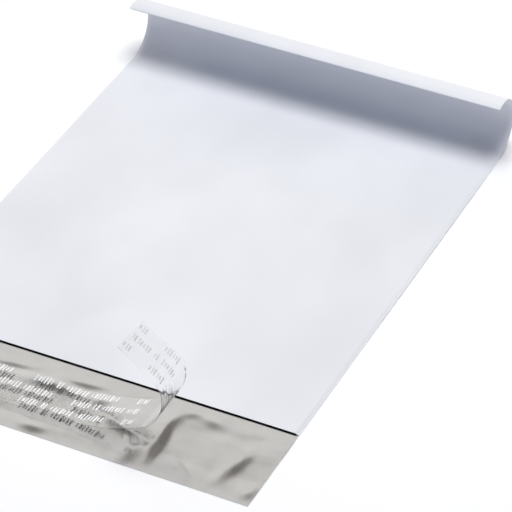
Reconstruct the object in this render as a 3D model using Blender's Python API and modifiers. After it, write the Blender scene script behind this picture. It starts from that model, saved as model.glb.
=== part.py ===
"""A poly mailer bag, lying open end forward on a flat surface.

One web of film makes the bag: the flap and the back panel lie on the surface, the film
turns over at the closed end and comes back as the front panel, and both sides are welded.
The closed end has kept the curl of the roll that it came from. A line of adhesive crosses
the flap, under a release liner that is peeled back from the right for part of its length.

Metres, +Z up. +X runs across the bag and +Y from the flap towards the closed end.
The origin is under the middle of the whole outline.
The real film is about 0.06 mm thick and is drawn here at FILM_THICKNESS.
"""

import math

import bmesh
import bpy

# Bag
BAG_WIDTH = 0.1905
POCKET_LENGTH = 0.2667
FLAP_LENGTH = 0.0481
FILM_THICKNESS = 0.0004
POCKET_GAP = 0.0005
MOUTH_GAPE = 0.0012
MOUTH_TAPER = 0.030

# Curl of the closed end, which tightens towards its edge
CURL_LENGTH = 0.0532
CURL_START_RADIUS = 0.0183
CURL_END_RADIUS = 0.0132

# Soft creases in the bare right side of the flap. Each is a line of points: in from the
# bag's right edge, out from the mouth, half width and height
CREASES = (
    (
        (0.0505, 0.0481, 0.0030, 0.0),
        (0.0518, 0.0390, 0.0034, 0.0009),
        (0.0526, 0.0250, 0.0045, 0.0019),
        (0.0532, 0.0165, 0.0045, 0.0016),
        (0.0502, 0.0097, 0.0040, 0.0010),
        (0.0452, 0.0064, 0.0034, 0.0006),
        (0.0410, 0.0058, 0.0030, 0.0),
    ),
    (
        (0.0192, 0.0470, 0.0035, 0.0),
        (0.0172, 0.0370, 0.0038, 0.0006),
        (0.0150, 0.0270, 0.0043, 0.0010),
        (0.0130, 0.0200, 0.0042, 0.0008),
        (0.0115, 0.0130, 0.0040, 0.0),
    ),
    ((0.0420, 0.0072, 0.0030, 0.0), (0.0340, 0.0083, 0.0035, 0.0006), (0.0270, 0.0105, 0.0030, 0.0)),
    ((0.0600, 0.0475, 0.0040, 0.0), (0.0585, 0.0395, 0.0042, 0.0007), (0.0580, 0.0320, 0.0035, 0.0)),
)
CREASE_FADE = 0.0060
CREASED_WIDTH = 0.0700

# Adhesive line and release liner on the flap
LINER_WIDTH = 0.0217
LINER_SETBACK = 0.0148
LINER_THICKNESS = 0.0003
ADHESIVE_WIDTH = 0.0160
ADHESIVE_THICKNESS = 0.00025
ADHESIVE_END_MARGIN = 0.0010
LAYER_CLEARANCE = 0.00035

# Peeled stretch of the liner: it rises, turns up and folds back over itself. Its straight
# tail sags towards the mouth
RISE_LENGTH = 0.0480
RISE_TURN = math.radians(23)
UPTURN_LENGTH = 0.0268
UPTURN_TURN = math.radians(74)
FOLD_LENGTH = 0.0099
FOLD_TURN = math.radians(45)
TAIL_LENGTH = 0.0187
TAIL_SAG = 0.0031

# Fineness of the meshes
COLUMN_SPACING = 0.0120
CREASED_COLUMN_SPACING = 0.0030
FLAP_ROW_SPACING = 0.0032
PANEL_ROW_SPACING = 0.0300
MOUTH_ROW_SPACING = 0.0100
ROW_TURN = math.radians(7)
STRIP_COLUMN_SPACING = 0.0055

COLLECTION = "poly_mailer_bag"


def clear_scene():
    for obj in list(bpy.data.objects):
        bpy.data.objects.remove(obj, do_unlink=True)


def material(name, colour, roughness, alpha=1.0):
    mat = bpy.data.materials.new(name)
    mat.use_nodes = True
    shader = mat.node_tree.nodes["Principled BSDF"]
    shader.inputs["Base Color"].default_value = (*colour, 1.0)
    shader.inputs["Roughness"].default_value = roughness
    shader.inputs["Metallic"].default_value = 0.0
    shader.inputs["Alpha"].default_value = alpha
    mat.diffuse_color = (*colour, alpha)
    return mat


def smoothstep(t):
    t = min(1.0, max(0.0, t))
    return t * t * (3 - 2 * t)


def steps_for(length, spacing):
    return max(1, round(length / spacing))


def evenly(start, end, steps):
    return [start + (end - start) * i / steps for i in range(steps + 1)]


class Profile:
    """A side view line: runs of (length, curvature at its start, curvature at its end)."""

    FINE_STEP = 0.0002

    def __init__(self, height, runs):
        self.points = [(0.0, 0.0, height, 0.0)]
        along, forward, up, heading = self.points[0]
        for length, curvature, end_curvature in runs:
            steps = max(2, math.ceil(length / self.FINE_STEP))
            step = length / steps
            for i in range(steps):
                share = (i + 0.5) / steps
                turn = step * (curvature + (end_curvature - curvature) * share)
                forward += step * math.cos(heading + turn / 2)
                up += step * math.sin(heading + turn / 2)
                heading += turn
                along += step
                self.points.append((along, forward, up, heading))
        self.length = along

    def at(self, distance):
        """(forward, up, heading) at a distance along the line, straight before its start."""
        if distance <= 0:
            return distance, self.points[0][2], 0.0
        low, high = 0, len(self.points) - 1
        while high - low > 1:
            middle = (low + high) // 2
            if self.points[middle][0] <= distance:
                low = middle
            else:
                high = middle
        a, b = self.points[low], self.points[high]
        share = min(1.0, (distance - a[0]) / (b[0] - a[0]))
        return tuple(a[k] + (b[k] - a[k]) * share for k in (1, 2, 3))


def crease_lift(crease, inward, outward):
    """Height of one crease at a place on the flap: the highest of its stretches there."""
    lift = 0.0
    for start, end in zip(crease, crease[1:]):
        run_in, run_out = end[0] - start[0], end[1] - start[1]
        from_in, from_out = inward - start[0], outward - start[1]
        share = (from_in * run_in + from_out * run_out) / (run_in**2 + run_out**2)
        share = min(1.0, max(0.0, share))
        away = math.hypot(from_in - share * run_in, from_out - share * run_out)
        half_width = start[2] + (end[2] - start[2]) * share
        height = start[3] + (end[3] - start[3]) * share
        lift = max(lift, height * math.exp(-((away / half_width) ** 2)))
    return lift


def flap_lift(x, y):
    """How far the creases raise the flap's film. They die out at the mouth and the edge."""
    inward, outward = BAG_WIDTH / 2 - x, -y
    lift = sum(crease_lift(crease, inward, outward) for crease in CREASES)
    return lift * smoothstep(min(outward, FLAP_LENGTH - outward) / CREASE_FADE)


def mouth_gap(distance):
    """Inside gap between the panels: widest at the mouth."""
    share = 1 - smoothstep(distance / MOUTH_TAPER)
    return POCKET_GAP + (MOUTH_GAPE - POCKET_GAP) * share


def bag_profile():
    flat = (POCKET_LENGTH - CURL_LENGTH, 0.0, 0.0)
    curl = (CURL_LENGTH, 1 / CURL_START_RADIUS, 1 / CURL_END_RADIUS)
    return Profile(FILM_THICKNESS / 2, [flat, curl])


def film_point(profile, x, distance, above):
    """A point of the film's middle surface, above the back panel's by a distance."""
    forward, up, heading = profile.at(distance)
    if distance < 0:
        above += flap_lift(x, distance)
    return x, forward - above * math.sin(heading), up + above * math.cos(heading)


def middle_of(profile):
    """Half way along +Y between the flap's edge and the outermost film of the curl."""
    reach = max(
        forward + FILM_THICKNESS / 2 * math.sin(heading)
        for along, forward, up, heading in profile.points
    )
    return (reach - FLAP_LENGTH) / 2


def panel_distances():
    """Rows along a panel from the mouth: fine at the mouth and in the curl."""
    flat_length = POCKET_LENGTH - CURL_LENGTH
    mouth = evenly(0.0, MOUTH_TAPER, steps_for(MOUTH_TAPER, MOUTH_ROW_SPACING))
    flat_steps = steps_for(flat_length - MOUTH_TAPER, PANEL_ROW_SPACING)
    flat = evenly(MOUTH_TAPER, flat_length, flat_steps)
    turn = CURL_LENGTH * (1 / CURL_START_RADIUS + 1 / CURL_END_RADIUS) / 2
    curl = evenly(flat_length, POCKET_LENGTH, math.ceil(turn / ROW_TURN))
    return mouth + flat[1:] + curl[1:]


def columns_across():
    """Places across the bag, closer together where the flap is creased."""
    half = (BAG_WIDTH - FILM_THICKNESS) / 2
    start = half - CREASED_WIDTH
    plain = evenly(-half, start, steps_for(start + half, COLUMN_SPACING))
    steps = steps_for(CREASED_WIDTH, CREASED_COLUMN_SPACING)
    return plain + evenly(start, half, steps)[1:]


def grid_mesh(columns, rows, place):
    """A grid of cells whose corner (column, row) goes to place(column, row)."""
    bm = bmesh.new()
    bmesh.ops.create_grid(bm, x_segments=columns, y_segments=rows, size=1.0)
    corners = {}
    for vert in bm.verts:
        column = round((vert.co.x + 1) / 2 * columns)
        row = round((vert.co.y + 1) / 2 * rows)
        vert.co = place(column, row)
        corners[column, row] = vert
    return bm, corners


def finished_object(name, bm, materials, collection):
    mesh = bpy.data.meshes.new(name)
    bm.to_mesh(mesh)
    bm.free()
    mesh.shade_smooth()
    mesh.set_sharp_from_angle(angle=math.radians(40))
    for mat in materials:
        mesh.materials.append(mat)
    obj = bpy.data.objects.new(name, mesh)
    collection.objects.link(obj)
    return obj


def thicken(obj, thickness):
    """Makes a sheet a solid. Its underside and cut edges take the last material."""
    solidify = obj.modifiers.new("film", "SOLIDIFY")
    solidify.thickness = thickness
    solidify.offset = 0.0
    solidify.use_even_offset = True
    solidify.material_offset = len(obj.data.materials) - 1
    solidify.material_offset_rim = solidify.material_offset


def make_bag(profile, shift, collection):
    """The web of film, bent round the closed end, with its sides welded."""
    flap = evenly(-FLAP_LENGTH, 0.0, steps_for(FLAP_LENGTH, FLAP_ROW_SPACING))
    panel = panel_distances()
    web = [(distance, 0.0) for distance in flap[:-1] + panel]
    web += [(d, FILM_THICKNESS + mouth_gap(d)) for d in reversed(panel)]
    across = columns_across()
    columns = len(across) - 1

    def place(column, row):
        x, y, z = film_point(profile, across[column], *web[row])
        return x, y - shift, z

    bm, corners = grid_mesh(columns, len(web) - 1, place)
    mouth_row = len(flap) - 1
    for side in (0, columns):
        for i in range(len(panel) - 1):
            back, front = mouth_row + i, len(web) - 1 - i
            wall = [
                corners[side, back],
                corners[side, back + 1],
                corners[side, front - 1],
                corners[side, front],
            ]
            bm.faces.new(wall if side == 0 else reversed(wall))
    inside = material("grey_film", (0.50, 0.50, 0.485), 0.38)
    outside = material("white_film", (0.86, 0.87, 0.90), 0.42)
    obj = finished_object("mailer_bag", bm, (inside, outside), collection)
    thicken(obj, FILM_THICKNESS)


def strip_across(width, setback):
    """Places across a strip, from its edge at the flap's edge to its edge at the mouth."""
    steps = steps_for(width, STRIP_COLUMN_SPACING)
    return evenly(-setback - width, -setback, steps)


def make_adhesive(shift, collection):
    setback = LINER_SETBACK + (LINER_WIDTH - ADHESIVE_WIDTH) / 2
    across = strip_across(ADHESIVE_WIDTH, setback)
    half = BAG_WIDTH / 2 - ADHESIVE_END_MARGIN
    along = [min(half, max(-half, x)) for x in columns_across()]
    level = FILM_THICKNESS + LAYER_CLEARANCE + ADHESIVE_THICKNESS / 2

    def place(column, row):
        x, y = along[column], across[row]
        return x, y - shift, level + flap_lift(x, y)

    bm, corners = grid_mesh(len(along) - 1, len(across) - 1, place)
    glue = material("clear_adhesive", (0.72, 0.72, 0.70), 0.20, alpha=0.5)
    obj = finished_object("adhesive_line", bm, (glue,), collection)
    thicken(obj, ADHESIVE_THICKNESS)


def liner_level():
    under = FILM_THICKNESS + 2 * LAYER_CLEARANCE + ADHESIVE_THICKNESS
    return under + LINER_THICKNESS / 2


def liner_runs():
    peeled = (
        (RISE_LENGTH, RISE_TURN / RISE_LENGTH),
        (UPTURN_LENGTH, UPTURN_TURN / UPTURN_LENGTH),
        (FOLD_LENGTH, FOLD_TURN / FOLD_LENGTH),
        (TAIL_LENGTH, 0.0),
    )
    stuck = BAG_WIDTH - sum(length for length, curvature in peeled)
    return [(stuck, 0.0, 0.0)] + [(length, bend, bend) for length, bend in peeled]


def liner_distances(runs):
    """Rows along the liner: by length where it is straight and by turn where it bends."""
    places, start = [0.0], 0.0
    for length, curvature, end_curvature in runs:
        steps = steps_for(length, 2 * STRIP_COLUMN_SPACING)
        steps = max(steps, math.ceil(curvature * length / ROW_TURN))
        places += evenly(start, start + length, steps)[1:]
        start += length
    return places


def make_liner(shift, collection):
    runs = liner_runs()
    stuck = runs[0][0]
    tail = FOLD_LENGTH + TAIL_LENGTH

    def carried(distance):
        """The stuck part follows the flap, and the peeled part lets go of it."""
        return 1 - smoothstep((distance - stuck) / RISE_LENGTH)

    def sag(distance, y):
        """How far the tail hangs down, most at the corner nearest to the mouth."""
        rear_share = 1 - (-y - LINER_SETBACK) / LINER_WIDTH
        return TAIL_SAG * rear_share * smoothstep((distance - BAG_WIDTH + tail) / tail)

    profile = Profile(liner_level(), runs)
    along = liner_distances(runs)
    across = strip_across(LINER_WIDTH, LINER_SETBACK)

    def place(column, row):
        distance = along[column]
        forward, up, heading = profile.at(distance)
        x, y = forward - BAG_WIDTH / 2, across[row]
        lift = flap_lift(x, y) * carried(distance) - sag(distance, y)
        return x, y - shift, up + lift

    bm, corners = grid_mesh(len(along) - 1, len(across) - 1, place)
    clear = material("clear_liner", (0.82, 0.82, 0.82), 0.25, alpha=0.4)
    obj = finished_object("release_liner", bm, (clear,), collection)
    thicken(obj, LINER_THICKNESS)


def main():
    clear_scene()
    collection = bpy.data.collections.new(COLLECTION)
    bpy.context.scene.collection.children.link(collection)
    profile = bag_profile()
    shift = middle_of(profile)
    make_bag(profile, shift, collection)
    make_adhesive(shift, collection)
    make_liner(shift, collection)


main()
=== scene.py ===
"""Looks of a poly mailer bag: white and silver film, clear adhesive, printed release liner.

Metres, +Z up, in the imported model's frame: +X across the bag, +Y towards its closed end.
"""

import math

import bmesh
import bpy
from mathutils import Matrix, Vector, noise


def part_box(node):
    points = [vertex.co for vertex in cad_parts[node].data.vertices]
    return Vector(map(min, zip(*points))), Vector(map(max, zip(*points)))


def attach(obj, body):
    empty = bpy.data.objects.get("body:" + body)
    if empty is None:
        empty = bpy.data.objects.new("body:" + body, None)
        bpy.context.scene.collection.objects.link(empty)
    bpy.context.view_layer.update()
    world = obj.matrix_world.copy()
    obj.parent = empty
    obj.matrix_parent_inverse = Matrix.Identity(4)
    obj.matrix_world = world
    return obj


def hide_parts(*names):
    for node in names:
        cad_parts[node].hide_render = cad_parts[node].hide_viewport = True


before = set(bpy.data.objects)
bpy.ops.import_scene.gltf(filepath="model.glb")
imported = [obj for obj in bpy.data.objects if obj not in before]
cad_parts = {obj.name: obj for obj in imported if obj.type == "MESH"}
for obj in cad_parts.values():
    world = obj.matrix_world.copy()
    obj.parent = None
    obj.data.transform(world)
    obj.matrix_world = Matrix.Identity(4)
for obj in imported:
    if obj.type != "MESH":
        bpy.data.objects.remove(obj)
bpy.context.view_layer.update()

# Film web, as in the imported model. The film itself is drawn thinner here
POCKET_LENGTH = 0.2667
FLAP_LENGTH = 0.0481
CURL_LENGTH = 0.0532
CURL_START_RADIUS = 0.0183
CURL_END_RADIUS = 0.0132
FILM_THICKNESS = 0.00016

# Space between the two panels: open at the mouth and closed by the side welds
MOUTH_GAPE = 0.00060
MOUTH_TAPER = 0.030
POCKET_GAP = 0.00035
WELD_GAP = 0.00003
WELD_WIDTH = 0.0005
WELD_CLOSING = 0.0013

# How far the front panel's lip reaches out over the mouth line at the left
MOUTH_SKEW = 0.0008

# Soft creases in the flap. Each is a line of points: in from the bag's right edge, out
# from the mouth, half width and height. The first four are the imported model's, three of
# them drawn narrower, and the others are smaller
CREASES = (
    (
        (0.0493, 0.0440, 0.0016, 0.0),
        (0.0501, 0.0385, 0.0022, 0.0007),
        (0.0513, 0.0320, 0.0029, 0.0013),
        (0.0521, 0.0250, 0.0034, 0.0013),
        (0.0527, 0.0165, 0.0034, 0.00095),
        (0.0500, 0.0099, 0.0031, 0.0005),
        (0.0452, 0.0066, 0.0028, 0.0004),
        (0.0410, 0.0058, 0.0026, 0.0),
    ),
    (
        (0.0186, 0.0425, 0.0022, 0.0),
        (0.0176, 0.0365, 0.0026, 0.00035),
        (0.0157, 0.0275, 0.0033, 0.0008),
        (0.0138, 0.0205, 0.0030, 0.0004),
        (0.0128, 0.0150, 0.0028, 0.0),
    ),
    ((0.0444, 0.0066, 0.0028, 0.0), (0.0364, 0.0078, 0.0032, 0.00045), (0.0294, 0.0101, 0.0028, 0.0)),
    ((0.0600, 0.0475, 0.0040, 0.0), (0.0585, 0.0395, 0.0042, 0.0007), (0.0580, 0.0320, 0.0035, 0.0)),
    ((0.0038, 0.0440, 0.0022, 0.0), (0.0032, 0.0395, 0.0028, 0.0004), (0.0030, 0.0350, 0.0022, 0.0)),
    ((0.0760, 0.0272, 0.0022, 0.0), (0.0650, 0.0280, 0.0025, 0.0004), (0.0530, 0.0312, 0.0022, 0.0)),
    ((0.1110, 0.0418, 0.0026, 0.0), (0.1030, 0.0432, 0.0028, 0.0006), (0.0960, 0.0428, 0.0026, 0.0)),
    ((0.1190, 0.0150, 0.0028, 0.0), (0.1080, 0.0157, 0.0030, 0.0009), (0.0920, 0.0172, 0.0028, 0.0)),
    ((0.1120, 0.0112, 0.0022, 0.0), (0.0960, 0.0094, 0.0024, 0.0005), (0.0810, 0.0076, 0.0022, 0.0)),
    ((0.0890, 0.0158, 0.0024, 0.0), (0.0840, 0.0160, 0.0026, 0.0006), (0.0780, 0.0150, 0.0024, 0.0)),
    ((0.0810, 0.0225, 0.0025, 0.0), (0.0735, 0.0255, 0.0028, 0.0007), (0.0660, 0.0280, 0.0025, 0.0)),
    ((0.1500, 0.0122, 0.0022, 0.0), (0.1300, 0.0108, 0.0024, 0.0005), (0.1090, 0.0086, 0.0022, 0.0)),
)

# How near to the mouth the flap's creases and waves die out
CREASE_FADE = 0.0060

# A crease's height at a place is blended from steps along its line. The nearest count most,
# and more so with a higher blend. It ends this many half widths from its points
CREASE_SPACING = 0.0010
CREASE_BLEND = 3
CREASE_REACH = 3.0

# Gentle unevenness of the film where it lies flat. The flap's waves are each a height, a
# length and a width, and die out towards its edge
PANEL_WAVE = 0.0006
PANEL_WAVE_SIZE = 0.060
FLAP_WAVES = ((0.00030, 0.018, 0.014), (0.00018, 0.012, 0.007))
WAVE_FADE = 0.016

# Each unevenness has a slice of the noise to itself. All but the neck's wrinkles are raised,
# so that most of each lifts
FLAP_SLICE = 0.3
PANEL_SLICE = 1.7
LINER_SLICE = 4.1
NECK_SLICE = 7.9
NOISE_RAISE = 0.5

# Release liner. Its runs are the peeled part's lengths and how far each turns up. Its waves
# are narrower than they are long. Its tail drops at the rear edge and leans forward
LINER_WIDTH = 0.0217
LINER_SETBACK = 0.0148
LINER_THICKNESS = 0.00012
LINER_LEVEL = 0.0015
LINER_WAVE = 0.0007
LINER_WAVE_SIZE = 0.030
LINER_WAVE_NARROWING = 2
LINER_RUNS = (
    (0.0480, math.radians(23)),
    (0.0268, math.radians(74)),
    (0.0099, math.radians(45)),
    (0.0187, 0.0),
)
TAIL_TWIST = 0.0031
TAIL_LEAN = 0.0011

# Fine wrinkles where the peeled liner is bent hardest
NECK_START = 0.038
NECK_LENGTH = 0.048
NECK_WRINKLE = 0.00030
NECK_WRINKLE_SIZE = (0.014, 0.0032)

# Adhesive line, crowned in the middle and thin at its long edges
ADHESIVE_WIDTH = 0.0160
ADHESIVE_END_MARGIN = 0.0010
ADHESIVE_LEVEL = 0.00045
ADHESIVE_THICKNESS = 0.00015
ADHESIVE_EDGE_DROP = 0.9
ADHESIVE_CROWN_POWER = 4

# Print on the liner: rows of short bars of uneven width and height, with no lettering.
# A row has its middle's distance out from the mouth and its runs, from the liner's left end
OUTER_RUNS = (
    (0.0010, 0.0164),
    (0.0262, 0.0667),
    (0.0762, 0.1172),
    (0.1258, 0.1325),
    (0.1670, 0.1782),
    (0.1858, 0.1904),
)
MIDDLE_RUNS = (
    (0.0010, 0.0382),
    (0.0474, 0.0882),
    (0.0974, 0.1310),
    (0.1644, 0.1904),
)
BAR_ROWS = ((0.0176, OUTER_RUNS), (0.0246, MIDDLE_RUNS), (0.0320, OUTER_RUNS))
BAR_HEIGHT = 0.0038
BAR_PITCH = 0.00150
BAR_THICKNESS = 0.00004
BAR_CLEARANCE = 0.00002
BAR_SLANT = 0.0004
BAR_WIDTHS = (0.00080, 0.00050, 0.00095, 0.00060, 0.00070)
BAR_HEIGHT_SHARES = (1.0, 0.7, 0.9, 1.0, 0.6, 0.8, 1.0)
BARS_IN_GROUP = (6, 2, 7, 9)

# Tones of the ink, and where along the liner its back changes from one to the other. The
# back's grey is painted shade on the white ink, darker on the stuck part and paler on the tail
INK_WHITE = ((0.86, 0.86, 0.86), (0.92, 0.92, 0.92))
INK_SHADED_BACK = ((0.47, 0.47, 0.475), (0.55, 0.55, 0.555))
INK_SHADED_BACK_ON_TAIL = ((0.56, 0.56, 0.57), (0.64, 0.64, 0.65))
INK_CHANGE = (0.135, 0.160)
INK_ROUGHNESS = (0.45, 0.60)
INK_SPECKLE = (0.0005, 0.0005)

# Most of the noise in a material lies in this range
NOISE_RANGE = (0.3, 0.7)

# Films. Tones and roughness go from one value to another over clouds and patches, whose
# sizes are (across the bag, along the web). Relief is layers of (size, height)
WHITE_TONES = ((0.735, 0.747, 0.778), (0.804, 0.816, 0.847))
WHITE_CLOUD = (0.050, 0.070)
WHITE_ROUGHNESS = (0.36, 0.46)
WHITE_PATCH = (0.010, 0.018)
WHITE_RELIEF = (((0.0016, 0.120), 0.000006), ((0.0009, 0.0011), 0.000003))
SILVER_TONES = ((0.52, 0.517, 0.510), (0.60, 0.597, 0.588))
SILVER_CLOUD = (0.012, 0.016)
SILVER_ROUGHNESS = (0.16, 0.22)
SILVER_PATCH = (0.004, 0.006)
SILVER_RELIEF = (((0.0060, 0.0090), 0.00003), ((0.0008, 0.0010), 0.000002))
CUT_EDGE_TONES = ((0.60, 0.61, 0.64), (0.82, 0.83, 0.86))
CUT_EDGE_ROUGHNESS = (0.45, 0.60)
CUT_EDGE_NICK = (0.0010, 0.0010)
CLEAR_TONE = (0.99, 0.99, 0.99)
CLEAR_ROUGHNESS = (0.04, 0.10)
CLEAR_PATCH = (0.006, 0.006)
CLEAR_RELIEF = (((0.007, 0.005), 0.00008),)
ADHESIVE_TONE = (0.99, 0.99, 0.985)
ADHESIVE_ROUGHNESS = (0.10, 0.20)
ADHESIVE_PATCH = (0.003, 0.0012)
ADHESIVE_RELIEF = (((0.050, 0.0011), 0.000004),)

# Share of a lamp's light that clear film holds back
FILM_SHADE = 0.10

# The liner's cut edge is painted as a dark line of shade, which shows between these places
# along it, (hidden, in full view), and in patches, the faintest and the clearest of them this much
EDGE_FADES = ((0.0900, 0.1100), (0.1760, 0.1560))
EDGE_SHOWN = (0.35, 1.0)
EDGE_TONES = ((0.10, 0.10, 0.105), (0.06, 0.06, 0.065))
EDGE_ROUGHNESS = (0.30, 0.45)
EDGE_PATCH = (0.0050, 0.0050)

# Painted shade in the liner where it is bent hardest: dark streaks on its front half, and dark
# patches on its rear edge there. Fades are places along it, and sides are distances in from its
# rear edge, both as (hidden, in full view), and so are the levels of the noise
STREAK_FADES = ((0.1490, 0.1530), (0.1660, 0.1610))
STREAK_SIDE = (0.0080, 0.0120)
STREAK_SIZE = (0.0120, 0.0014)
STREAK_NOISE = (0.48, 0.66)
PATCH_FADES = ((0.1440, 0.1480), (0.1650, 0.1610))
PATCH_SIDE = (0.0014, 0.0008)
PATCH_SIZE = (0.0030, 0.0045)
PATCH_NOISE = (0.40, 0.48)
NECK_SHADE_TONE = (0.38, 0.38, 0.39)

# Fineness of the meshes, and how far two faces turn where their edge is shaded sharp
COLUMN_SPACING = 0.0017
WELD_COLUMNS = (0.0004, 0.0008, 0.0012, 0.0018, 0.0026, 0.0036, 0.0048)
FLAP_ROW_SPACING = 0.0009
MOUTH_ROW_SPACING = 0.0020
PANEL_ROW_SPACING = 0.0048
ROW_TURN = math.radians(4)
FOLD_ROWS = 4
STRIP_SPACING = 0.0012
BAR_STEPS = 4
SHARP_ANGLE = math.radians(35)

# View of the photograph
CAMERA_AZIMUTH = math.radians(26.06)
CAMERA_ELEVATION = math.radians(37.94)
CAMERA_DISTANCE = 1.400
CAMERA_AIM = Vector((0.0260, 0.0096, 0.0))
CAMERA_LENS = 221.9
SENSOR = 36.0

# Studio. The softbox has a place, a size and a brightness, where 1 shows as white
FLOOR_SIZE = 8.0
FLOOR_TONE = (0.97, 0.97, 0.97)
FLOOR_ROUGHNESS = 0.9
TOP_SOFTBOX = ((0.05, 0.14, 1.20), 0.60, 10.7)
ROOM_BACK = (0.25, 0.232, 0.22)
ROOM_FRONT = (0.08, 0.10, 0.16)
SWEEP_BACK = (0.66, 0.66, 0.67)
SWEEP_FRONT = (0.44, 0.49, 0.67)
BACK_PANEL = (1.06, 1.045, 1.03)
BACK_PANEL_AZIMUTH = math.radians(-60)
BACK_PANEL_HALF_WIDTH = math.radians(46)
BACK_PANEL_SOFTNESS = math.radians(6)
BACK_PANEL_TOP = math.radians(50)
BACK_PANEL_TOP_SOFTNESS = math.radians(8)
SWEEP_TOP = math.radians(14)
SWEEP_TOP_SOFTNESS = math.radians(8)
FRONT_BACK_SOFTNESS = 0.35

# Film that is seen from elsewhere mirrors pale walls and a pale ceiling, not the dark room
DARK_WALL_AZIMUTH = math.radians(-38)
DARK_WALL_HALF_WIDTH = math.radians(72)
DARK_WALL_SOFTNESS = math.radians(5)
CEILING_START = math.radians(80)
CEILING_SOFTNESS = math.radians(4)


def smoothstep(t):
    t = min(1.0, max(0.0, t))
    return t * t * (3 - 2 * t)


def steps_for(length, spacing):
    return max(1, round(length / spacing))


def evenly(start, end, steps):
    return [start + (end - start) * i / steps for i in range(steps + 1)]


class Profile:
    """A side view line: runs of (length, curvature at its start, curvature at its end)."""

    FINE_STEP = 0.0002

    def __init__(self, height, runs):
        self.points = [(0.0, 0.0, height, 0.0)]
        along, forward, up, heading = self.points[0]
        for length, curvature, end_curvature in runs:
            steps = max(2, math.ceil(length / self.FINE_STEP))
            step = length / steps
            for i in range(steps):
                share = (i + 0.5) / steps
                turn = step * (curvature + (end_curvature - curvature) * share)
                forward += step * math.cos(heading + turn / 2)
                up += step * math.sin(heading + turn / 2)
                heading += turn
                along += step
                self.points.append((along, forward, up, heading))
        self.length = along

    def at(self, distance):
        """(forward, up, heading) at a distance along the line, straight outside its ends."""
        if distance <= 0:
            return distance, self.points[0][2], 0.0
        low, high = 0, len(self.points) - 1
        while high - low > 1:
            middle = (low + high) // 2
            if self.points[middle][0] <= distance:
                low = middle
            else:
                high = middle
        a, b = self.points[low], self.points[high]
        share = (distance - a[0]) / (b[0] - a[0])
        return tuple(a[k] + (b[k] - a[k]) * share for k in (1, 2, 3))


flap_low, film_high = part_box("mailer_bag")
HALF_WIDTH = film_high.x
MOUTH_Y = flap_low.y + FLAP_LENGTH
BAG_PROFILE = Profile(
    FILM_THICKNESS / 2,
    (
        (POCKET_LENGTH - CURL_LENGTH, 0.0, 0.0),
        (CURL_LENGTH, 1 / CURL_START_RADIUS, 1 / CURL_END_RADIUS),
    ),
)


def smooth_line(points, spacing):
    """Points of (in, out, half width, height, length of line) along a smooth curve."""
    padded = (points[0], *points, points[-1])
    line = []
    for before, start, end, after in zip(padded, padded[1:], padded[2:], padded[3:]):
        stretch = math.dist(start[:2], end[:2])
        steps = math.ceil(stretch / spacing)
        for i in range(steps):
            t = (i + 0.5) / steps
            fields = []
            for a, b, c, d in zip(before, start, end, after):
                bend = (2 * a - 5 * b + 4 * c - d) / 2
                twist = (3 * b - 3 * c + d - a) / 2
                fields.append(b + t * ((c - a) / 2 + t * (bend + t * twist)))
            line.append((*fields, stretch / steps))
    return line


class Crease:
    """A soft ridge in the flap, along a smooth line."""

    def __init__(self, points):
        self.line = smooth_line(points, CREASE_SPACING)
        reach = CREASE_REACH * max(point[2] for point in points)
        self.low = [min(point[k] for point in points) - reach for k in (0, 1)]
        self.high = [max(point[k] for point in points) + reach for k in (0, 1)]

    def lift(self, inward, outward):
        """Its height at a place on the flap, blended from all the places along its line."""
        if not (self.low[0] < inward < self.high[0] and self.low[1] < outward < self.high[1]):
            return 0.0
        total = 0.0
        for line_in, line_out, half_width, height, length in self.line:
            away = math.hypot(inward - line_in, outward - line_out) / half_width
            total += (height * math.exp(-away * away)) ** CREASE_BLEND * length / half_width
        return (total * math.sqrt(CREASE_BLEND / math.pi)) ** (1 / CREASE_BLEND)


creases = [Crease(points) for points in CREASES]


def flap_lift(x, y):
    """How far creases and waves raise the flap. y is measured from the mouth."""
    inward, outward = HALF_WIDTH - x, -y
    lift = sum(crease.lift(inward, outward) for crease in creases)
    edge = smoothstep((FLAP_LENGTH - outward) / WAVE_FADE)
    for height, length, width in FLAP_WAVES:
        wave = noise.noise(Vector((x / length, y / width, FLAP_SLICE)))
        lift += height * (wave + NOISE_RAISE) * edge
    return max(0.0, lift) * smoothstep(outward / CREASE_FADE)


def panel_lift(x, distance):
    """Slow unevenness of both panels together, none at the mouth or in the curl."""
    flat = POCKET_LENGTH - CURL_LENGTH
    fade = smoothstep(distance / MOUTH_TAPER) * smoothstep((flat - distance) / MOUTH_TAPER)
    wave = noise.noise(Vector((x, distance, PANEL_SLICE)) / PANEL_WAVE_SIZE)
    return PANEL_WAVE * max(0.0, wave + NOISE_RAISE) * fade


def pocket_gap(x, distance):
    share = 1 - smoothstep(distance / MOUTH_TAPER)
    gap = POCKET_GAP + (MOUTH_GAPE - POCKET_GAP) * share
    open_share = smoothstep((HALF_WIDTH - abs(x) - WELD_WIDTH) / WELD_CLOSING)
    return WELD_GAP + (gap - WELD_GAP) * open_share


def lip_skew(x, distance):
    """How far the front panel's lip reaches out over the mouth line, most at the left."""
    return MOUTH_SKEW * smoothstep(0.5 - x / HALF_WIDTH / 2) * (1 - smoothstep(distance / MOUTH_TAPER))


def film_point(x, distance, above):
    """A point of the film's middle surface, above the back panel's by a distance."""
    forward, up, heading = BAG_PROFILE.at(distance)
    if distance < 0:
        above += flap_lift(x, distance)
    else:
        above += panel_lift(x, distance)
    y = forward - above * math.sin(heading) + MOUTH_Y
    return x, y, up + above * math.cos(heading)


def columns_across():
    half = HALF_WIDTH - FILM_THICKNESS / 2
    inner = half - WELD_COLUMNS[-1]
    side = [half - inward for inward in (0.0, *WELD_COLUMNS)]
    middle = evenly(-inner, inner, steps_for(2 * inner, COLUMN_SPACING))
    return [-x for x in side] + middle[1:-1] + side[::-1]


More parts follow.
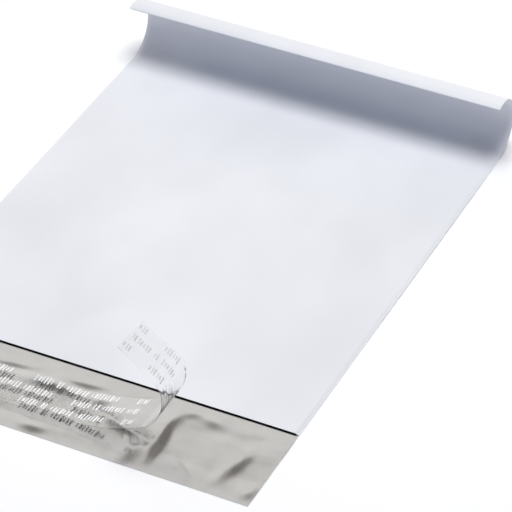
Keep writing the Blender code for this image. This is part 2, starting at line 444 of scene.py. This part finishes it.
def panel_distances():
    """Rows along a panel from the mouth: fine at the mouth and in the curl."""
    flat_length = POCKET_LENGTH - CURL_LENGTH
    mouth = evenly(0.0, MOUTH_TAPER, steps_for(MOUTH_TAPER, MOUTH_ROW_SPACING))
    flat_steps = steps_for(flat_length - MOUTH_TAPER, PANEL_ROW_SPACING)
    flat = evenly(MOUTH_TAPER, flat_length, flat_steps)
    turn = CURL_LENGTH * (1 / CURL_START_RADIUS + 1 / CURL_END_RADIUS) / 2
    curl = evenly(flat_length, POCKET_LENGTH, math.ceil(turn / ROW_TURN))
    return mouth + flat[1:] + curl[1:]


def web_rows():
    """Each row's place along the bag, its share of the way up from the back panel to the
    front one, and its length along the web from the flap's edge."""
    flap = evenly(-FLAP_LENGTH, 0.0, steps_for(FLAP_LENGTH, FLAP_ROW_SPACING))
    panel = panel_distances()
    rows = [(d, 0.0, d + FLAP_LENGTH) for d in flap[:-1] + panel]
    fold = (FILM_THICKNESS + POCKET_GAP) / 2
    for i in range(1, FOLD_ROWS):
        angle = math.pi * i / FOLD_ROWS
        past = POCKET_LENGTH + fold * math.sin(angle)
        rows.append((past, (1 - math.cos(angle)) / 2, POCKET_LENGTH + FLAP_LENGTH))
    whole = FLAP_LENGTH + 2 * POCKET_LENGTH
    rows += [(d, 1.0, whole - d) for d in reversed(panel)]
    return rows, len(flap) - 1, len(panel)


def grid_mesh(columns, rows, place, uv_at):
    """A grid of cells whose corner (column, row) goes to place(column, row)."""
    bm = bmesh.new()
    bmesh.ops.create_grid(bm, x_segments=columns, y_segments=rows, size=1.0)
    corners, cells = {}, {}
    for vert in bm.verts:
        column = round((vert.co.x + 1) / 2 * columns)
        row = round((vert.co.y + 1) / 2 * rows)
        vert.co = place(column, row)
        corners[column, row] = vert
        cells[vert] = (column, row)
    uv_layer = bm.loops.layers.uv.new("web")
    for face in bm.faces:
        for loop in face.loops:
            loop[uv_layer].uv = uv_at(*cells[loop.vert])
    return bm, corners


def finished_piece(name, bm, thickness, materials, sides=(0, 0)):
    """Thickens a sheet into a closed solid. sides gives the material's step for the
    back of the sheet and for its cut edges."""
    sheet = bpy.data.meshes.new(name + "_sheet")
    bm.to_mesh(sheet)
    bm.free()
    for mat in materials:
        sheet.materials.append(mat)
    obj = bpy.data.objects.new(name, sheet)
    bpy.context.scene.collection.objects.link(obj)
    solidify = obj.modifiers.new("film", "SOLIDIFY")
    solidify.thickness = thickness
    solidify.offset = 0.0
    solidify.use_even_offset = True
    solidify.material_offset, solidify.material_offset_rim = sides
    evaluated = obj.evaluated_get(bpy.context.evaluated_depsgraph_get())
    mesh = bpy.data.meshes.new_from_object(evaluated)
    mesh.name = name
    obj.modifiers.clear()
    obj.data = mesh
    bpy.data.meshes.remove(sheet)
    mesh.shade_smooth()
    mesh.set_sharp_from_angle(angle=SHARP_ANGLE)
    return obj


def add_node(tree, kind, inputs=None, **settings):
    node = tree.nodes.new("ShaderNode" + kind)
    for name, value in settings.items():
        setattr(node, name, value)
    for name, value in (inputs or {}).items():
        if isinstance(value, bpy.types.NodeSocket):
            tree.links.new(value, node.inputs[name])
        else:
            node.inputs[name].default_value = value
    return node


def principled(name, sockets):
    mat = bpy.data.materials.new(name)
    mat.use_nodes = True
    shader = mat.node_tree.nodes["Principled BSDF"]
    for socket, value in sockets.items():
        shader.inputs[socket].default_value = value
    return mat.node_tree, shader, mat


def film_noise(tree, stretch, detail=2.0):
    """Noise laid out along the film, with its features stretch[0] across the bag and
    stretch[1] along the web, in metres."""
    place = add_node(tree, "UVMap", uv_map="web").outputs["UV"]
    scale = (1 / stretch[0], 1 / stretch[1], 1.0)
    mapped = add_node(tree, "Mapping", {"Vector": place, "Scale": scale})
    fields = {"Vector": mapped.outputs["Vector"], "Scale": 1.0, "Detail": detail}
    return add_node(tree, "TexNoise", fields).outputs["Fac"]


def between(tree, fac, low, high):
    """A value from low to high as the noise goes through its usual range."""
    fields = {"Value": fac, "From Min": NOISE_RANGE[0], "From Max": NOISE_RANGE[1]}
    fields.update({"To Min": low, "To Max": high})
    return add_node(tree, "MapRange", fields).outputs["Result"]


def tinted(tree, fac, first, second):
    """A colour from first to second. Either may be a socket or three numbers."""
    mix = add_node(tree, "Mix", data_type="RGBA")
    tree.links.new(fac, mix.inputs["Factor"])
    for socket, colour in ((mix.inputs[6], first), (mix.inputs[7], second)):
        if isinstance(colour, bpy.types.NodeSocket):
            tree.links.new(colour, socket)
        else:
            socket.default_value = (*colour, 1.0)
    return mix.outputs[2]


def colour_film(tree, shader, fac, tones):
    tree.links.new(tinted(tree, fac, *tones), shader.inputs["Base Color"])


def roughen_film(tree, shader, patch, roughness):
    patches = film_noise(tree, patch)
    tree.links.new(between(tree, patches, *roughness), shader.inputs["Roughness"])


def raise_relief(tree, shader, relief):
    """Bumps from layers of noise, each (size, height), all in metres."""
    normal = None
    for size, height in relief:
        fields = {"Height": film_noise(tree, size), "Distance": height, "Strength": 1.0}
        if normal is not None:
            fields["Normal"] = normal
        normal = add_node(tree, "Bump", fields).outputs["Normal"]
    tree.links.new(normal, shader.inputs["Normal"])


def white_film():
    """Satin white film with fine lines along the web, as extruded film has."""
    tree, shader, mat = principled("white_film", {"Specular IOR Level": 0.5})
    shade = between(tree, film_noise(tree, WHITE_CLOUD), 0.0, 1.0)
    colour_film(tree, shader, shade, WHITE_TONES)
    roughen_film(tree, shader, WHITE_PATCH, WHITE_ROUGHNESS)
    raise_relief(tree, shader, WHITE_RELIEF)
    return mat


def silver_film():
    sockets = {"Metallic": 1.0, "Specular IOR Level": 0.5}
    tree, shader, mat = principled("silver_film", sockets)
    cloud = film_noise(tree, SILVER_CLOUD, detail=3.0)
    colour_film(tree, shader, cloud, SILVER_TONES)
    roughen_film(tree, shader, SILVER_PATCH, SILVER_ROUGHNESS)
    raise_relief(tree, shader, SILVER_RELIEF)
    return mat


def cut_edge():
    tree, shader, mat = principled("cut_edge", {"Specular IOR Level": 0.4})
    colour_film(tree, shader, film_noise(tree, CUT_EDGE_NICK), CUT_EDGE_TONES)
    roughen_film(tree, shader, CUT_EDGE_NICK, CUT_EDGE_ROUGHNESS)
    return mat


def let_light_through(tree, shader):
    """Lamps shine through a clear film almost as if it weren't there."""
    shadow = add_node(tree, "LightPath").outputs["Is Shadow Ray"]
    fields = {"Value": shadow, "To Min": 1.0, "To Max": FILM_SHADE}
    tree.links.new(add_node(tree, "MapRange", fields).outputs["Result"], shader.inputs["Alpha"])


def multiplied(tree, values):
    product = values[0]
    for value in values[1:]:
        product = add_node(tree, "Math", {0: product, 1: value}, operation="MULTIPLY").outputs[0]
    return product


def faded(tree, place, fades):
    """1 in full view and 0 where hidden. Each fade is a pair of places: (hidden, in full view)."""
    shares = []
    for start, end in fades:
        fields = {"Value": place, "From Min": start, "From Max": end}
        fade = add_node(tree, "MapRange", fields, interpolation_type="SMOOTHSTEP")
        shares.append(fade.outputs["Result"])
    return multiplied(tree, shares)


def painted_neck_shade(tree):
    """Painted shade where the hard bend of the liner looks dark: in streaks and along its rear edge.
    """
    place = add_node(tree, "UVMap", uv_map="web").outputs["UV"]
    along, outward = add_node(tree, "SeparateXYZ", {"Vector": place}).outputs[:2]
    shades = []
    for size, level, fades, side in (
        (STREAK_SIZE, STREAK_NOISE, STREAK_FADES, STREAK_SIDE),
        (PATCH_SIZE, PATCH_NOISE, PATCH_FADES, PATCH_SIDE),
    ):
        marks = faded(tree, film_noise(tree, size), (level,))
        across = faded(tree, outward, ([LINER_SETBACK + inward for inward in side],))
        shades.append(multiplied(tree, [marks, faded(tree, along, fades), across]))
    return add_node(tree, "Math", dict(enumerate(shades)), operation="MAXIMUM").outputs[0]


def clear_film():
    sockets = {"Transmission Weight": 0.98, "IOR": 1.33}
    tree, shader, mat = principled("clear_liner", sockets)
    # The clear tone, darkened by painted shade in streaks and patches where the liner is bent hardest
    colour_film(tree, shader, painted_neck_shade(tree), (CLEAR_TONE, NECK_SHADE_TONE))
    roughen_film(tree, shader, CLEAR_PATCH, CLEAR_ROUGHNESS)
    raise_relief(tree, shader, CLEAR_RELIEF)
    let_light_through(tree, shader)
    return mat


def clear_adhesive():
    sockets = {
        "Base Color": (*ADHESIVE_TONE, 1.0),
        "Transmission Weight": 1.0,
        "IOR": 1.14,
    }
    tree, shader, mat = principled("clear_adhesive", sockets)
    roughen_film(tree, shader, ADHESIVE_PATCH, ADHESIVE_ROUGHNESS)
    raise_relief(tree, shader, ADHESIVE_RELIEF)
    let_light_through(tree, shader)
    return mat


def painted_edge_shade():
    """The liner's cut edge, painted as a broken dark line of shade where the film bends."""
    tree, shader, mat = principled("liner_edge_shade", {"Specular IOR Level": 0.5})
    place = add_node(tree, "UVMap", uv_map="web").outputs["UV"]
    along = add_node(tree, "SeparateXYZ", {"Vector": place}).outputs["X"]
    patches = film_noise(tree, EDGE_PATCH)
    shown = [between(tree, patches, *EDGE_SHOWN), faded(tree, along, EDGE_FADES)]
    tree.links.new(multiplied(tree, shown), shader.inputs["Alpha"])
    # Near-black painted shade on the clear film's cut edge
    colour_film(tree, shader, patches, EDGE_TONES)
    roughen_film(tree, shader, EDGE_PATCH, EDGE_ROUGHNESS)
    return mat


def print_ink(name, start_tone, end_tone):
    """Ink from one tone on the stuck part to another on the tail, each (dark, light). On the
    back of the bars both tones are painted shade.
    """
    tree, shader, mat = principled(name, {"Specular IOR Level": 0.4})
    speckle = film_noise(tree, INK_SPECKLE)
    place = add_node(tree, "UVMap", uv_map="web").outputs["UV"]
    along = add_node(tree, "SeparateXYZ", {"Vector": place}).outputs["X"]
    fields = {"Value": along, "From Min": INK_CHANGE[0], "From Max": INK_CHANGE[1]}
    share = add_node(tree, "MapRange", fields).outputs["Result"]
    tones = [tinted(tree, speckle, *tone) for tone in (start_tone, end_tone)]
    colour_film(tree, shader, share, tones)
    roughen_film(tree, shader, INK_SPECKLE, INK_ROUGHNESS)
    return mat


def make_film():
    """The web of film, bent round the closed end, with its sides welded."""
    rows, mouth_row, panel_rows = web_rows()
    across = columns_across()
    columns = len(across) - 1

    def place(column, row):
        distance, share = rows[row][:2]
        x = across[column]
        gap = pocket_gap(x, distance) if distance >= 0 else 0.0
        x, y, z = film_point(x, distance, share * (FILM_THICKNESS + gap))
        return x, y - share * lip_skew(x, distance), z

    def uv_at(column, row):
        return across[column], rows[row][2]

    bm, corners = grid_mesh(columns, len(rows) - 1, place, uv_at)
    uv_layer = bm.loops.layers.uv.active
    for side in (0, columns):
        for i in range(panel_rows - 1 + FOLD_ROWS // 2):
            back, front = mouth_row + i, len(rows) - 1 - i
            ring = [(side, back), (side, back + 1), (side, front - 1), (side, front)]
            ring = list(dict.fromkeys(ring))[:: -1 if side else 1]
            face = bm.faces.new([corners[key] for key in ring])
            for loop, key in zip(face.loops, ring):
                loop[uv_layer].uv = uv_at(*key)
    materials = (silver_film(), white_film(), cut_edge())
    return finished_piece("film_web", bm, FILM_THICKNESS, materials, sides=(1, 2))


LINER_STUCK = 2 * HALF_WIDTH - sum(length for length, turn in LINER_RUNS)
LINER_PROFILE = Profile(
    LINER_LEVEL,
    ((LINER_STUCK, 0.0, 0.0), *((run, turn / run, turn / run) for run, turn in LINER_RUNS)),
)


def neck_share(along):
    """1 in the middle of the stretch that is bent hardest, 0 before it and after it."""
    place = (along - LINER_STUCK - NECK_START) / NECK_LENGTH
    return smoothstep(2 * place) * smoothstep(2 - 2 * place)


def liner_point(along, outward, above):
    """A point of the liner: along from its left end, outward from the mouth, above its
    middle surface. The stuck part follows the flap, and the peeled part lets go of it."""
    forward, up, heading = LINER_PROFILE.at(along)
    x, y = forward - HALF_WIDTH, -outward
    carried = 1 - smoothstep((along - LINER_STUCK) / LINER_RUNS[0][0])
    place = Vector((along, outward * LINER_WAVE_NARROWING, LINER_SLICE))
    wave = noise.noise(place / LINER_WAVE_SIZE) + NOISE_RAISE
    rise = flap_lift(x, y) * carried + LINER_WAVE * wave
    tail = LINER_RUNS[-1][0] + LINER_RUNS[-2][0]
    past_fold = smoothstep((along - LINER_PROFILE.length + tail) / tail)
    rear_share = 1 - (outward - LINER_SETBACK) / LINER_WIDTH
    rise -= TAIL_TWIST * past_fold * rear_share
    y -= TAIL_LEAN * smoothstep((along - LINER_STUCK) / (LINER_PROFILE.length - LINER_STUCK))
    length, width = NECK_WRINKLE_SIZE
    wrinkle = noise.noise(Vector((along / length, outward / width, NECK_SLICE)))
    above += NECK_WRINKLE * wrinkle * neck_share(along)
    up += rise + above * math.cos(heading)
    return x - above * math.sin(heading), y + MOUTH_Y, up


def make_liner():
    along = evenly(0.0, LINER_PROFILE.length, steps_for(LINER_PROFILE.length, STRIP_SPACING))
    edges = LINER_SETBACK, LINER_SETBACK + LINER_WIDTH
    outward = evenly(*edges, steps_for(LINER_WIDTH, STRIP_SPACING))

    def place(column, row):
        return liner_point(along[column], outward[row], 0.0)

    def uv_at(column, row):
        return along[column], outward[row]

    bm = grid_mesh(len(along) - 1, len(outward) - 1, place, uv_at)[0]
    materials = (clear_film(), painted_edge_shade())
    return finished_piece("liner_film", bm, LINER_THICKNESS, materials, sides=(0, 1))


def bars_of_row(runs):
    """(start, width, share of the full height) of each bar, in groups within each run."""
    bars = []
    for start, end in runs:
        group, left = 0, BARS_IN_GROUP[0]
        at = start
        while at + BAR_PITCH <= end:
            if left:
                width = BAR_WIDTHS[len(bars) % len(BAR_WIDTHS)]
                share = BAR_HEIGHT_SHARES[len(bars) % len(BAR_HEIGHT_SHARES)]
                bars.append((at, width, share))
                left -= 1
            else:
                group += 1
                left = BARS_IN_GROUP[group % len(BARS_IN_GROUP)]
            at += BAR_PITCH
    return bars


def make_print():
    """Thin bars of ink just above the liner's upper face, white above and grey with painted shade
    below.
    """
    bm = bmesh.new()
    uv_layer = bm.loops.layers.uv.new("web")
    above = (LINER_THICKNESS + BAR_THICKNESS) / 2 + BAR_CLEARANCE
    for middle, runs in BAR_ROWS:
        for start, width, share in bars_of_row(runs):
            grid = bmesh.ops.create_grid(bm, x_segments=1, y_segments=BAR_STEPS, size=0.5)
            places = {}
            for vert in grid["verts"]:
                u, v = vert.co.x, vert.co.y * share
                along = start + (u + 0.5) * width + v * BAR_SLANT
                places[vert] = along, middle - v * BAR_HEIGHT
                vert.co = liner_point(*places[vert], above)
            for face in {face for vert in places for face in vert.link_faces}:
                for loop in face.loops:
                    loop[uv_layer].uv = places[loop.vert]
    white = print_ink("print_white", INK_WHITE, INK_WHITE)
    # The bars' lower face is the white ink painted grey as shade
    back = print_ink("print_back_shade", INK_SHADED_BACK, INK_SHADED_BACK_ON_TAIL)
    return finished_piece("liner_marks", bm, BAR_THICKNESS, (white, back), sides=(1, 0))


def make_adhesive():
    half = HALF_WIDTH - ADHESIVE_END_MARGIN
    along = evenly(-half, half, steps_for(2 * half, STRIP_SPACING))
    setback = LINER_SETBACK + (LINER_WIDTH - ADHESIVE_WIDTH) / 2
    outward = evenly(setback, setback + ADHESIVE_WIDTH, steps_for(ADHESIVE_WIDTH, STRIP_SPACING))

    def place(column, row):
        x, y = along[column], -outward[row]
        return x, y + MOUTH_Y, ADHESIVE_LEVEL + flap_lift(x, y)

    def uv_at(column, row):
        return along[column], outward[row]

    bm = grid_mesh(len(along) - 1, len(outward) - 1, place, uv_at)[0]
    obj = finished_piece("adhesive_layer", bm, ADHESIVE_THICKNESS, (clear_adhesive(),))
    middle = setback + ADHESIVE_WIDTH / 2
    for vert in obj.data.vertices:
        x, y = vert.co.x, vert.co.y - MOUTH_Y
        base = ADHESIVE_LEVEL + flap_lift(x, y)
        off_middle = min(1.0, abs(-y - middle) / (ADHESIVE_WIDTH / 2))
        crown = 1 - ADHESIVE_EDGE_DROP * off_middle**ADHESIVE_CROWN_POWER
        vert.co.z = base + (vert.co.z - base) * crown
    return obj


def make_floor():
    bm = bmesh.new()
    bmesh.ops.create_grid(bm, x_segments=1, y_segments=1, size=FLOOR_SIZE / 2)
    mesh = bpy.data.meshes.new("floor")
    bm.to_mesh(mesh)
    bm.free()
    sockets = {
        "Base Color": (*FLOOR_TONE, 1.0),
        "Roughness": FLOOR_ROUGHNESS,
        "Specular IOR Level": 0.1,
    }
    mesh.materials.append(principled("floor", sockets)[2])
    floor = bpy.data.objects.new("floor", mesh)
    bpy.context.scene.collection.objects.link(floor)


def aim(obj, target):
    obj.rotation_euler = (Vector(target) - obj.location).to_track_quat("-Z", "Y").to_euler()


def make_softbox(name, place, size, brightness):
    light = bpy.data.lights.new(name, "AREA")
    light.shape = "SQUARE"
    light.size = size
    light.energy = brightness * math.pi * size**2
    obj = bpy.data.objects.new(name, light)
    obj.location = place
    obj.visible_glossy = False
    obj.visible_transmission = False
    bpy.context.scene.collection.objects.link(obj)
    aim(obj, (0.0, 0.0, 0.0))


def world_value(tree, value, middle, ends, soft):
    """Goes softly from one end to the other as a value passes the middle."""
    fields = {"Value": value, "From Min": middle - soft, "From Max": middle + soft}
    fields.update({"To Min": ends[0], "To Max": ends[1]})
    ramp = add_node(tree, "MapRange", fields, interpolation_type="SMOOTHSTEP")
    return ramp.outputs["Result"]


def angle_from(tree, azimuth, middle):
    """How far an azimuth is from a middle one, either way round."""
    off = add_node(tree, "Math", {0: azimuth, 1: middle}, operation="SUBTRACT").outputs[0]
    turned = add_node(tree, "Math", {0: off}, operation="COSINE").outputs[0]
    return add_node(tree, "Math", {0: turned}, operation="ARCCOSINE").outputs[0]


def make_world():
    """A pale sweep low down, a dark room above it and one pale panel at the back left. Only
    mirrored rays meet the pale walls and the pale ceiling."""
    world = bpy.data.worlds.new("studio")
    bpy.context.scene.world = world
    world.use_nodes = True
    tree = world.node_tree
    direction = add_node(tree, "TexCoord").outputs["Generated"]
    parts = add_node(tree, "SeparateXYZ", {"Vector": direction})
    rise = add_node(tree, "Math", {0: parts.outputs["Z"]}, operation="ARCSINE").outputs[0]
    turn = add_node(tree, "Math", {0: parts.outputs["X"], 1: parts.outputs["Y"]}, operation="ARCTAN2")
    away = angle_from(tree, turn.outputs[0], BACK_PANEL_AZIMUTH)
    low = world_value(tree, rise, SWEEP_TOP, (1.0, 0.0), SWEEP_TOP_SOFTNESS)
    wide = world_value(tree, away, BACK_PANEL_HALF_WIDTH, (1.0, 0.0), BACK_PANEL_SOFTNESS)
    tall = world_value(tree, rise, BACK_PANEL_TOP, (1.0, 0.0), BACK_PANEL_TOP_SOFTNESS)
    panel = add_node(tree, "Math", {0: wide, 1: tall}, operation="MULTIPLY").outputs[0]
    aside = angle_from(tree, turn.outputs[0], DARK_WALL_AZIMUTH)
    walls = world_value(tree, aside, DARK_WALL_HALF_WIDTH, (0.0, 1.0), DARK_WALL_SOFTNESS)
    ceiling = world_value(tree, rise, CEILING_START, (0.0, 1.0), CEILING_SOFTNESS)
    others = add_node(tree, "Math", {0: walls, 1: ceiling}, operation="MAXIMUM").outputs[0]
    mirrored = add_node(tree, "LightPath").outputs["Is Glossy Ray"]
    pale = add_node(tree, "Math", {0: others, 1: mirrored}, operation="MULTIPLY").outputs[0]
    panels = add_node(tree, "Math", {0: panel, 1: pale}, operation="MAXIMUM").outputs[0]
    behind = world_value(tree, parts.outputs["Y"], 0.0, (0.0, 1.0), FRONT_BACK_SOFTNESS)
    room = tinted(tree, behind, ROOM_FRONT, ROOM_BACK)
    sweep = tinted(tree, behind, SWEEP_FRONT, SWEEP_BACK)
    lit = tinted(tree, panels, room, BACK_PANEL)
    whole = tinted(tree, low, lit, sweep)
    tree.links.new(whole, tree.nodes["Background"].inputs["Color"])


def make_camera():
    camera = bpy.data.cameras.new("camera")
    camera.sensor_width = SENSOR
    camera.lens = CAMERA_LENS
    obj = bpy.data.objects.new("camera", camera)
    level = math.cos(CAMERA_ELEVATION)
    back = Vector(
        (
            math.sin(CAMERA_AZIMUTH) * level,
            -math.cos(CAMERA_AZIMUTH) * level,
            math.sin(CAMERA_ELEVATION),
        )
    )
    obj.location = CAMERA_AIM + back * CAMERA_DISTANCE
    bpy.context.scene.collection.objects.link(obj)
    aim(obj, CAMERA_AIM)
    bpy.context.scene.camera = obj


make_camera()
make_world()
make_floor()
make_softbox("top_softbox", *TOP_SOFTBOX)
bpy.context.scene.view_settings.view_transform = "Standard"

film = make_film()
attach(film, "root")
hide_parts("mailer_bag")

adhesive = make_adhesive()
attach(adhesive, "root")
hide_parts("adhesive_line")

liner = make_liner()
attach(liner, "root")
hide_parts("release_liner")

marks = make_print()
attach(marks, "root")
